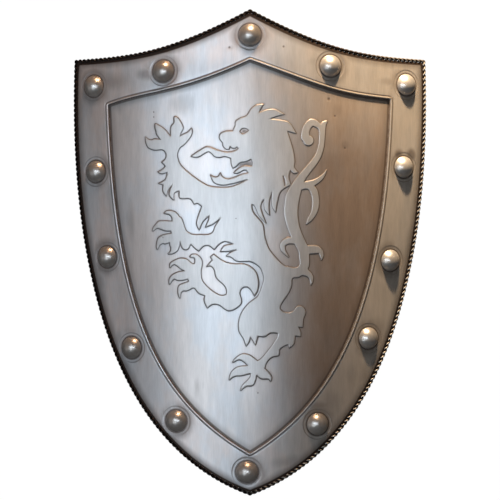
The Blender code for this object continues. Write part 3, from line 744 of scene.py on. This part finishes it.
# %% Edge of the sheets
ROPE_REACH = 0.7 * ROPE_RADIUS
FOLDED_SHARE = 0.97
inward = unit(inset(rope_plan, 1.0) - rope_plan)
edge_slopes = np.sum(np.column_stack(slopes(rope_plan[:, 0], rope_plan[:, 1])) * inward, axis=1)
edge_gap = ROPE_REACH / np.sqrt(1 + edge_slopes ** 2)
sheet_edge = inset(rope_plan, edge_gap)
folded = Line([rope_plan]).away(sheet_edge) < FOLDED_SHARE * edge_gap
sheet_edge = sheet_edge[~folded]
edge_line = Line([sheet_edge])
print("points left out where the edge folds over at the corners:", int(folded.sum()))
lip_line = Line([inner_line])

# %% [markdown]
# ## Dents, pits and stains
#
# The steel has seen use: a few pits and shallow dents on the field and on the band. They could be
# bumps in the material, but real dents bend the highlights round them, so they go into the mesh.
# The stains have no depth and wait for the finishes; a noise alone would put them anywhere, so
# they are listed. Each dent and stain is placed at the pixel where the photograph shows it.

# %% Dents in the steel
DENTS = (
    # across, down, radius in mm, depth in mm
    (329, 99, 3.0, 0.45), (335, 116, 2.2, 0.30), (345, 148, 2.4, 0.35),
    (229.6, 47.3, 2.6, 0.35), (283.4, 46.6, 2.2, 0.30), (153.5, 112, 1.5, 0.25),
    (153.5, 117, 1.4, 0.22), (236, 218.5, 1.3, 0.20), (258, 393, 1.5, 0.25),
    (163, 237.5, 1.2, 0.20))
DENT_STEEPNESS = 1.5
dent_places = np.array([plan_of_pixel(*dent[:2]) for dent in DENTS])


def dent_shares(points):
    """Distance of the points from the middle of each dent, as a share of its radius."""
    return np.array([np.linalg.norm(points - place, axis=1) * 1000 / radius
                     for place, (_, _, radius, _) in zip(dent_places, DENTS)])


def dent_depth(points):
    deepest = np.array([depth for _, _, _, depth in DENTS])[:, None] / 1000
    return np.sum(deepest * np.exp(-dent_shares(points) ** 2 * DENT_STEEPNESS), axis=0)


def from_dent(points):
    """Share of the nearest dent's radius, in thousandths, because meshes carry millimetres."""
    return np.min(dent_shares(points), axis=0) / 1000


dent_points = np.vstack([place + radius / 1000 * share * np.array([math.cos(turn), math.sin(turn)])
                         for place, (_, _, radius, _) in zip(dent_places, DENTS)
                         for share in (0.0, 0.35, 0.7, 1.1, 1.6)
                         for turn in np.arange(8) * math.pi / 4])
print("dents:", len(DENTS))

# %% Stains on the steel
STAINS = (
    # across, down, half its width and half its height in pixels, strength
    (398, 155, 6, 7, 0.75), (411, 155, 6, 7, 0.70), (131, 222, 6, 26, 0.30),
    (197, 387, 5, 14, 0.24), (99, 286, 7, 18, 0.40), (378, 328, 10, 14, 0.34),
    (352, 375, 8, 16, 0.16), (338, 110, 6, 8, 0.16), (345, 145, 5, 5, 0.20),
    (112, 190, 6, 40, 0.22), (316, 62, 9, 5, 0.16), (335, 330, 14, 40, 0.20),
    (232, 47, 6, 4, 0.22), (330, 400, 12, 14, 0.18), (118, 105, 8, 12, 0.30),
    (392, 82, 16, 5, 0.30), (110, 82, 24, 11, 0.40), (148, 74, 14, 7, 0.45),
    (330, 160, 20, 10, 0.12), (180, 105, 16, 14, 0.20), (244, 131, 6, 4, 0.75),
    (246, 165, 10, 6, 0.70), (332, 438, 12, 11, 0.70), (318, 406, 15, 7, 0.45),
    (366, 376, 9, 18, 0.36), (290, 462, 24, 8, 0.30), (118, 345, 8, 20, 0.30))
stain_places = [plan_of_pixel(*stain[:2]) for stain in STAINS]
print("stains:", len(STAINS))

# %% [markdown]
# ## The plate and its lion
#
# The front net has rows of points on both sides of the lion's outline, close together over the
# soft shoulder, and the height of each point comes from its distance to the outline. The back is
# plain, so its net is wide.

# %% Front of the plate
SHOULDER = 0.0009
FIELD_STEP = 0.0075
FIELD_SPACING = 0.00052
LION_ROWS = (0.0, 0.0006, -0.0006, 0.0012, -0.0012, -0.0021, 0.0021, -0.0035)
plate_loops = [sheet_edge] + hole_loops
walled_loops = [sheet_edge] + [hole[::-1] for hole in hole_loops]
field_points = np.vstack([dent_points, rows_beside(lion_loops, LION_ROWS),
                          rows_beside([inner_line], (0.0008, 0.0018, 0.0035)),
                          even_points(FIELD_STEP)])


def plate_front(plan):
    rise = LION_RELIEF * smoothstep(-SHOULDER, SHOULDER, from_lion(plan))
    return PLATE_FRONT + rise - dent_depth(plan) * inside(plan, [inner_line])


plate = Shell()
plan, faces = net(plate_loops, spaced(field_points, FIELD_SPACING), (edge_line, 0.002),
                  (hole_line, 0.0006))
plate.sheet(plan, faces, plate_front(plan))

# %% Back and edges of the plate
WIDE_STEP = 0.012
EDGE_CLEARANCE = 0.004
HOLE_CLEARANCE = 0.003
back = net(plate_loops, even_points(WIDE_STEP), (edge_line, EDGE_CLEARANCE),
           (hole_line, HOLE_CLEARANCE))
plate.sheet(*back, PLATE_BACK, facing_up=False)
for loop in walled_loops:
    plate.walls([(loop, PLATE_BACK), (loop, plate_front(loop))])
shield_plate = plate.build("shield_plate_dressed", {
    "from_outline": from_lion, "from_lip": lip_line.away, "from_rim": edge_line.away,
    "from_dent": from_dent})

# %% [markdown]
# ## The band
#
# The band is one sheet with a pressed ring round each rivet and a rolled lip along its inner line.
# The lip is swept as a row of rings, because its round profile needs many narrow faces side by
# side, and the flat part is a net like the plate's.

# %% Face of the band
BAND_STEP = 0.0065
BAND_SPACING = 0.0006
RING_RADIUS = 0.0212
RING_DEPTH = 0.0004
RING_EDGE = 0.0012
RING_ROWS = (0.0055, 0.009, 0.0125, 0.0155, 0.0168, 0.0180, 0.0190, 0.0199, 0.0206, 0.0213,
             0.0220, 0.0229, 0.0245)
GROOVE_DEPTH, GROOVE_WIDTH = 0.0004, 0.0011
RIM_FALL, RIM_FALL_WIDTH = 0.0006, 0.0020
lip_foot = inset(inner_line, -LIP_WIDTH)
foot_line = Line([lip_foot])
band_loops = [sheet_edge, lip_foot] + hole_loops
ring_points = np.vstack([circle_on(centre, radius, 64) for centre in rivet_plan
                         for radius in RING_ROWS])
band_points = np.vstack([dent_points, ring_points,
                         rows_beside([lip_foot], (-0.0007, -0.0015, -0.0026)),
                         rows_beside([sheet_edge], (0.0015, 0.0035)), even_points(BAND_STEP)])


def band_top(plan):
    """Height of the band's face: lower in the rings, beside the lip and at the rim."""
    pressed = RING_DEPTH * smoothstep(RING_RADIUS + RING_EDGE, RING_RADIUS - RING_EDGE,
                                      from_rivet(plan))
    groove = GROOVE_DEPTH * np.exp(-(foot_line.away(plan) / GROOVE_WIDTH) ** 2)
    rolled = RIM_FALL * np.exp(-(edge_line.away(plan) / RIM_FALL_WIDTH) ** 2)
    return BAND_TOP - pressed - groove - rolled - dent_depth(plan)


band = Shell()
plan, faces = net(band_loops, spaced(band_points, BAND_SPACING), (edge_line, 0.0008),
                  (foot_line, 0.0005), (hole_line, 0.0012))
band.sheet(plan, faces, band_top(plan))

# %% Lip and underside of the band
LIP_PROFILE = (
    # share of the lip's width from its inner side, share of its height
    (0.00, 0.00), (0.00, 0.25), (0.03, 0.48), (0.12, 0.72), (0.26, 0.90), (0.44, 0.99),
    (0.62, 0.99), (0.78, 0.90), (0.90, 0.72))
under = net([sheet_edge, inner_line] + hole_loops, even_points(WIDE_STEP),
            (edge_line, EDGE_CLEARANCE), (lip_line, EDGE_CLEARANCE), (hole_line, HOLE_CLEARANCE))
band.sheet(*under, 0.0, facing_up=False)
for loop in walled_loops:
    band.walls([(loop, 0.0), (loop, band_top(loop))])
rings = [(inset(inner_line, -LIP_WIDTH * across)[::-1], LIP_HEIGHT * up)
         for across, up in LIP_PROFILE]
band.walls(rings + [(lip_foot[::-1], band_top(lip_foot)[::-1])])
border_band = band.build("border_band_dressed", {
    "from_rivet": from_rivet, "from_lip": lip_line.away, "from_rim": edge_line.away,
    "from_dent": from_dent}, sharp_from=50)

# %% [markdown]
# ## The rivets
#
# All rivets are the same domed head on a shank, clenched on the back, so this is work for Geometry
# Nodes: points carry the places and the direction, one turned rivet is set on each, and a small
# random turn with a fixed seed keeps them from looking stamped out by a machine.

# %% One turned rivet
HEAD_RADIUS = 0.0158
HEAD_HEIGHT = 0.0108
SHANK_RADIUS = 0.0030
TAIL_RADIUS = 0.0060
GRIP = 0.0036
TAIL_THICKNESS = 0.0015


def rivet_profile():
    """Half section from the top of the dome, down its side, to the end of the tail."""
    sphere = (HEAD_RADIUS ** 2 + HEAD_HEIGHT ** 2) / (2 * HEAD_HEIGHT)
    widest = math.asin(HEAD_RADIUS / sphere)
    steps = np.linspace(0, widest * 0.985, 22)
    dome = [(sphere * math.sin(a), HEAD_HEIGHT - sphere * (1 - math.cos(a))) for a in steps]
    foot = [(HEAD_RADIUS, 0.0), (HEAD_RADIUS, -0.0005), (HEAD_RADIUS - 0.0006, -0.0009)]
    tail = [(SHANK_RADIUS, -0.0009), (SHANK_RADIUS, -GRIP), (TAIL_RADIUS - 0.0002, -GRIP),
            (TAIL_RADIUS, -GRIP - 0.0003), (TAIL_RADIUS, -GRIP - TAIL_THICKNESS + 0.0005),
            (TAIL_RADIUS - 0.0005, -GRIP - TAIL_THICKNESS + 0.0001),
            (0.0, -GRIP - TAIL_THICKNESS)]
    return dome + foot + tail


def turned(profile, steps):
    """Mesh of a half section turned about the upright axis, closed at both poles."""
    rings = len(profile) - 2
    points = [(0.0, 0.0, profile[0][1])]
    for radius, up in profile[1:-1]:
        points += [(radius * math.cos(angle), radius * math.sin(angle), up)
                   for angle in np.arange(steps) * 2 * math.pi / steps]
    points.append((0.0, 0.0, profile[-1][1]))
    faces = []
    for here in range(steps):
        after = (here + 1) % steps
        faces.append((0, 1 + here, 1 + after))
        for ring in range(1, 1 + (rings - 1) * steps, steps):
            below = ring + steps
            faces.append((ring + here, below + here, below + after, ring + after))
        lowest = 1 + (rings - 1) * steps
        faces.append((len(points) - 1, lowest + after, lowest + here))
    mesh = bpy.data.meshes.new("turned_rivet")
    mesh.from_pydata(points, [], faces)
    mesh.shade_smooth()
    mesh.set_sharp_from_angle(angle=math.radians(40))
    return mesh


one_rivet = bpy.data.objects.new("one_rivet", turned(rivet_profile(), 48))
print("faces of one rivet:", len(one_rivet.data.polygons))


# %% Geometry trees and what they make
def new_tree(name, inputs):
    """A geometry tree and its input wires: the base, and those named with their types."""
    tree = bpy.data.node_groups.new(name, "GeometryNodeTree")
    tree.interface.new_socket("Geometry", in_out="OUTPUT", socket_type="NodeSocketGeometry")
    for title, kind in {"Geometry": "Geometry", **inputs}.items():
        tree.interface.new_socket(title, in_out="INPUT", socket_type="NodeSocket" + kind)
    start = tree.nodes.new("NodeGroupInput")
    return tree, {socket.name: Wire(tree, socket) for socket in start.outputs}


def deliver(tree, geometry, finish):
    """End a tree: make its instances real and give them their finish."""
    real = add(tree, "GeometryNodeRealizeInstances", {"Geometry": geometry})
    finished = add(tree, "GeometryNodeSetMaterial", {"Geometry": real, "Material": finish})
    fill(tree, tree.nodes.new("NodeGroupOutput"), {0: finished})


def baked(name, mesh, tree, chosen):
    """Plain mesh that a tree makes of a base mesh, with inputs chosen by name."""
    base = bpy.data.objects.new(name, mesh)
    bpy.context.scene.collection.objects.link(base)
    modifier = base.modifiers.new(tree.name, "NODES")
    modifier.node_group = tree
    for item in tree.interface.items_tree:
        if item.in_out == "INPUT" and item.name in chosen:
            modifier[item.identifier] = chosen[item.name]
    evaluated = base.evaluated_get(bpy.context.evaluated_depsgraph_get())
    made = bpy.data.meshes.new_from_object(evaluated)
    made.name = name
    base.modifiers.clear()
    base.data = made
    made.calc_loop_triangles()
    print(name, "triangles:", len(made.loop_triangles))
    return base


# %% Rivets on their points
tree, start = new_tree("set_rivets", {"Rivet": "Object", "Seed": "Int", "Finish": "Material"})
facing = add(tree, "GeometryNodeInputNamedAttribute", {"Name": "facing"}, "Attribute",
             data_type="FLOAT_VECTOR")
aligned = add(tree, "FunctionNodeAlignRotationToVector", {"Vector": facing}, axis="Z")
spin = add(tree, "FunctionNodeRandomValue",
           {"Min": 0.0, "Max": 2 * math.pi, "Seed": start["Seed"]}, 1, data_type="FLOAT")
about = add(tree, "FunctionNodeAxisAngleToRotation", {"Axis": (0.0, 0.0, 1.0), "Angle": spin})
turn = add(tree, "FunctionNodeRotateRotation", {"Rotation": aligned, "Rotate By": about},
           rotation_space="LOCAL")
source = add(tree, "GeometryNodeObjectInfo", {"Object": start["Rivet"]}, "Geometry")
deliver(tree, add(tree, "GeometryNodeInstanceOnPoints",
                  {"Points": start["Geometry"], "Instance": source, "Rotation": turn}),
        start["Finish"])

seats = bpy.data.meshes.new("seats")
seats.from_pydata(lift(rivet_plan, BAND_TOP + CLEARANCE), [], [])
layer = seats.attributes.new("facing", "FLOAT_VECTOR", "POINT")
layer.data.foreach_set("vector", normals(rivet_plan).ravel())
dome_finish = Finish("domed_steel", 0.3, 0.74)
rivets = baked("rivets_dressed", seats, tree,
               {"Rivet": one_rivet, "Seed": 7, "Finish": dome_finish.material})

# %% [markdown]
# ## The twisted wire
#
# The rim is a rope of two wires laid round each other. A screw modifier could twist a straight
# one, but this one has to follow the rim and close on itself. Geometry Nodes walk round the rim,
# move each point off the middle by an angle that grows with the length walked, and draw a round
# wire through the points. Whole turns make the ends meet.

# %% Wires round the rim
LAY_LENGTH = 0.0146
WIRE_RADIUS = 0.00142
STEPS_PER_TURN = 14
rim_points = np.column_stack([rope_plan, height(rope_plan[:, 0], rope_plan[:, 1])])
rim_length = float(np.linalg.norm(np.roll(rim_points, -1, axis=0) - rim_points, axis=1).sum())
TURNS = round(rim_length / LAY_LENGTH)
print("rim in mm:", round(1000 * rim_length), "turns:", TURNS)

tree, start = new_tree("lay_wires", {"Turns": "Int", "Steps": "Int", "Wire radius": "Float",
                                     "Finish": "Material"})
rim = add(tree, "GeometryNodeMeshToCurve", {"Mesh": start["Geometry"]})
walked = add(tree, "GeometryNodeResampleCurve",
             {"Curve": rim, "Count": start["Turns"] * start["Steps"]})
upright = add(tree, "GeometryNodeSetCurveNormal", {"Curve": walked}, mode="Z_UP")
angle = add(tree, "GeometryNodeInputIndex", {}) / start["Steps"] * (2 * math.pi)
side = add(tree, "GeometryNodeInputNormal", {})
run = add(tree, "GeometryNodeInputTangent", {})
middle = add(tree, "GeometryNodeInputPosition", {})
section = add(tree, "GeometryNodeCurvePrimitiveCircle",
              {"Resolution": 8, "Radius": start["Wire radius"]})
marked = add(tree, "GeometryNodeStoreNamedAttribute",
             {"Geometry": upright, "Name": "rope_middle", "Value": middle},
             data_type="FLOAT_VECTOR")
joined = tree.nodes.new("GeometryNodeJoinGeometry")
for offset in (0.0, math.pi):
    radius = add(tree, "ShaderNodeVectorMath", {0: side, "Scale": start["Wire radius"]},
                 operation="SCALE")
    away = add(tree, "ShaderNodeVectorRotate",
               {"Vector": radius, "Axis": run, "Angle": angle + offset},
               rotation_type="AXIS_ANGLE")
    moved = add(tree, "GeometryNodeSetPosition", {"Geometry": marked, "Offset": away})
    wire = add(tree, "GeometryNodeCurveToMesh", {"Curve": moved, "Profile Curve": section})
    tree.links.new(wire.socket, joined.inputs[0])
deliver(tree, add(tree, "GeometryNodeSetShadeSmooth", {"Geometry": joined.outputs[0]}),
        start["Finish"])

rim_edges = [(i, (i + 1) % len(rim_points)) for i in range(len(rim_points))]
rim_mesh = bpy.data.meshes.new("rim")
rim_mesh.from_pydata(rim_points, rim_edges, [])
rope_finish = Finish("darkened_wire", 0.42, 0.8)
rope = baked("rope_edge_dressed", rim_mesh, tree,
             {"Turns": TURNS, "Steps": STEPS_PER_TURN, "Wire radius": WIRE_RADIUS,
              "Finish": rope_finish.material})

# %% [markdown]
# ## Antiqued, brushed steel
#
# The sheet was brushed along its length, blackened, and rubbed bright again. The black stays where
# the cloth can't reach: along the lion's outline, beside the lip, round the rivets and by the rim.
# Dirt could be painted by hand; the mesh carries its distance from each of these lines instead,
# and the finish turns those distances into dark bands whose edges wander a little. Some marks are
# painted light and shade, not dirt: a painted shadow on the field close beside the lip, painted
# shade on the lip's rounded sides, a painted highlight on the band by the peak, the field's brown
# painted lighter towards the peak, and painted highlights on the wire's crests on the right.


# %% Streaks and stains
PIXELS_PER_METRE = 680.0
SCRATCH_DEPTH = 0.00004


def brushed(name, roughness):
    """A finish with the streaks, clouds and browning that plate and band share."""
    finish = Finish(name, roughness, 0.62)
    fine = finish.noise((900.0, 60.0, 900.0), 2.0)
    broad = finish.noise((90.0, 14.0, 90.0), 4.0, 0.6)
    clouds = finish.noise((17.0, 9.0, 17.0), 5.0, 0.6)
    brown = finish.across(-0.02, 0.13) * (0.55 + clouds * 0.8)
    return finish, fine, broad, clouds, brown


def darkest(*marks):
    return reduce(Wire.most, marks)


def stains(finish, clouds):
    """The soft dark stains in the steel, as one value with wandering edges."""
    wander = (clouds - 0.5) * 1.6
    marks = []
    for (x, y), (_, _, half_width, half_height, strength) in zip(stain_places, STAINS):
        away = finish.vector("SUBTRACT", {0: finish.place(), 1: (x, y, 0.0)})
        flat = finish.vector("MULTIPLY", {0: away, 1: (PIXELS_PER_METRE / half_width,
                                                      PIXELS_PER_METRE / half_height, 0.0)})
        reach = finish.vector("LENGTH", {0: flat}, "Value")
        marks.append((reach + wander).fade(1.15, 0.2) * strength)
    return darkest(*marks)


def wear(finish, piece, colour, rough, scratches):
    """Paint a brushed finish, with its scratches as fine relief, and put it on its piece."""
    finish.paint(Base_Color=colour, Roughness=rough,
                 Normal=finish.bump(scratches, SCRATCH_DEPTH))
    piece.data.materials.append(finish.material)


# %% Finish of the plate
finish, fine, broad, clouds, brown = brushed("plate_steel_antiqued", 0.34)
outline = finish.measure("from_outline")
groove = abs(outline + 0.45).fade(1.1, 0.25)
raised = outline.fade(-0.2, 0.5)
hollow = (outline * -1.0).fade(4.5, 0.4) * (1.0 - raised)
from_lip = finish.measure("from_lip")
by_lip = (from_lip + (clouds - 0.5) * 3.0).fade(13.0, 1.0)
# painted shadow: the field is darkened close beside the lip, as the lip's shadow falls there, with
# the dark of the crevice at its foot
corner = from_lip.fade(4.4, 2.0)
pits = finish.measure("from_dent").fade(1.1, 0.3)
tone = 1.0 + (broad - 0.5) * 0.42 + (fine - 0.5) * 0.28 + (clouds - 0.5) * 0.34
cool = finish.mix(clouds.fade(0.40, 0.60), (0.55, 0.555, 0.57, 1), (0.56, 0.525, 0.51, 1))
# painted lamp light: the field's brown is lighter towards the peak, as the warm lamp's light falls
# off towards the tip; the lion is mixed paler grey as polished wear
tan_painted_lighter_at_peak = finish.mix(finish.up(0.12, 0.24), (0.27, 0.20, 0.155, 1), (0.41, 0.32, 0.25, 1))
worn_with_painted_light = finish.mix(raised * 0.8, finish.mix(brown, cool, tan_painted_lighter_at_peak), (0.50, 0.49, 0.48, 1))
# dirt, stains and pits, and the painted shadow beside the lip, as one darkening
dark = darkest(groove * 0.66, hollow * 0.18, by_lip * 0.42, corner * 0.86, pits * 0.7,
               stains(finish, clouds) * (1.0 - raised * 0.9))
colour = finish.mix(dark, finish.vector("SCALE", {0: worn_with_painted_light, "Scale": tone}),
                    (0.066, 0.046, 0.036, 1))
rough = 0.34 + (fine - 0.5) * 0.10 + raised * 0.03 + dark * 0.15
wear(finish, shield_plate, colour, rough, fine + broad * 0.6)

# %% Finish of the band
finish, fine, broad, clouds, brown = brushed("band_steel_antiqued", 0.38)
at_top = finish.up(0.262, 0.292)
from_rim = finish.measure("from_rim")
by_rim = (from_rim + (clouds - 0.5) * 6.0).fade(15.0, 2.0)
black_rim = (from_rim - at_top * 1.5).fade(4.4, 2.6)
from_lip = finish.measure("from_lip")
# painted shade: the lip's rounded sides are darkened and only its crest is left bright, so it reads
# as a lit line; the dark in the groove at its foot is dirt
lip_crest = abs(from_lip - 2.1).fade(1.4, 0.5)
lip_sides_shade_and_groove_dirt = from_lip.fade(6.4, 5.0) * (1.0 - lip_crest)
ring = finish.measure("from_rivet")
foot = ring.fade(19.4, 17.2)
halo = abs(ring - 21.8).fade(1.5, 0.3)
round_ring = ring.fade(34.0, 19.0) * clouds.fade(0.42, 0.58)
pits = finish.measure("from_dent").fade(1.1, 0.3)
# painted highlight: the band is made brighter by the peak, as mirrored window light
painted_glow_by_peak = at_top * finish.across(-0.12, -0.05) * (1.0 - brown)
tone = 0.98 + painted_glow_by_peak * 0.3 + (broad - 0.5) * 0.42 + (fine - 0.5) * 0.28 + (clouds - 0.5) * 0.38
cool = finish.mix(clouds.fade(0.40, 0.60), (0.56, 0.565, 0.58, 1), (0.57, 0.515, 0.495, 1))
bright = finish.mix(brown, cool, (0.46, 0.405, 0.35, 1))
# dirt, stains and pits, and the painted shade on the lip's sides, as one darkening
dark = darkest(by_rim * 0.66, foot * 0.85, halo * 0.5, round_ring * 0.5, pits * 0.7,
               lip_sides_shade_and_groove_dirt * 0.78, stains(finish, clouds))
# the band's colour with its dirt and the painted shade of the lip laid in
dirt_and_lip_shade = finish.mix(dark, finish.vector("SCALE", {0: bright, "Scale": tone}),
                   (0.062, 0.041, 0.029, 1))
colour = finish.mix(black_rim, dirt_and_lip_shade, (0.034, 0.021, 0.015, 1))
rough = 0.36 + (fine - 0.5) * 0.10 + dark * 0.15
wear(finish, border_band, colour, rough, fine + broad * 0.6)

# %% Finish of the domes and the wire
clouds = dome_finish.noise((260.0, 260.0, 260.0), 3.0)
dome_finish.paint(
    Base_Color=dome_finish.mix(clouds, (0.58, 0.56, 0.54, 1), (0.42, 0.37, 0.32, 1)),
    Roughness=0.27 + clouds * 0.12, Normal=dome_finish.bump(clouds, 0.00003))
clouds = rope_finish.noise((600.0, 600.0, 600.0), 2.0)
middle = rope_finish.add("ShaderNodeAttribute", {}, "Vector", attribute_name="rope_middle")
out = rope_finish.vector("DISTANCE", {0: rope_finish.place(), 1: middle}, "Value")
below = 1.0 - rope_finish.up(0.280, 0.290)
# painted highlight: on the right, below the top, the wire's crests furthest from the rope's middle
# are pale, as light caught there; the rest is the wire's own near-black
painted_crest_highlight = out.fade(0.00235, 0.00285) * rope_finish.across(-0.05, 0.12) * below
rope_finish.paint(
    Base_Color=rope_finish.mix(painted_crest_highlight, (0.014, 0.009, 0.007, 1), (0.50, 0.47, 0.42, 1)),
    Roughness=0.40 + clouds * 0.14)

# %% [markdown]
# ## Hand over
#
# Each piece rides on the one fixed body, and the CAD solids that it stands for are hidden.

# %% Pieces and bodies
for piece, node, slot in ((shield_plate, "shield_plate", "plate_steel"),
                          (border_band, "border_band", "band_steel"),
                          (rope, "rope_edge", "rope_steel")):
    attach(piece, "root")
    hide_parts(node)
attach(rivets, "root")
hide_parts(*[f"rivet_{number:02d}" for number in range(1, len(rivet_plan) + 1)])
bpy.data.objects.remove(one_rivet)
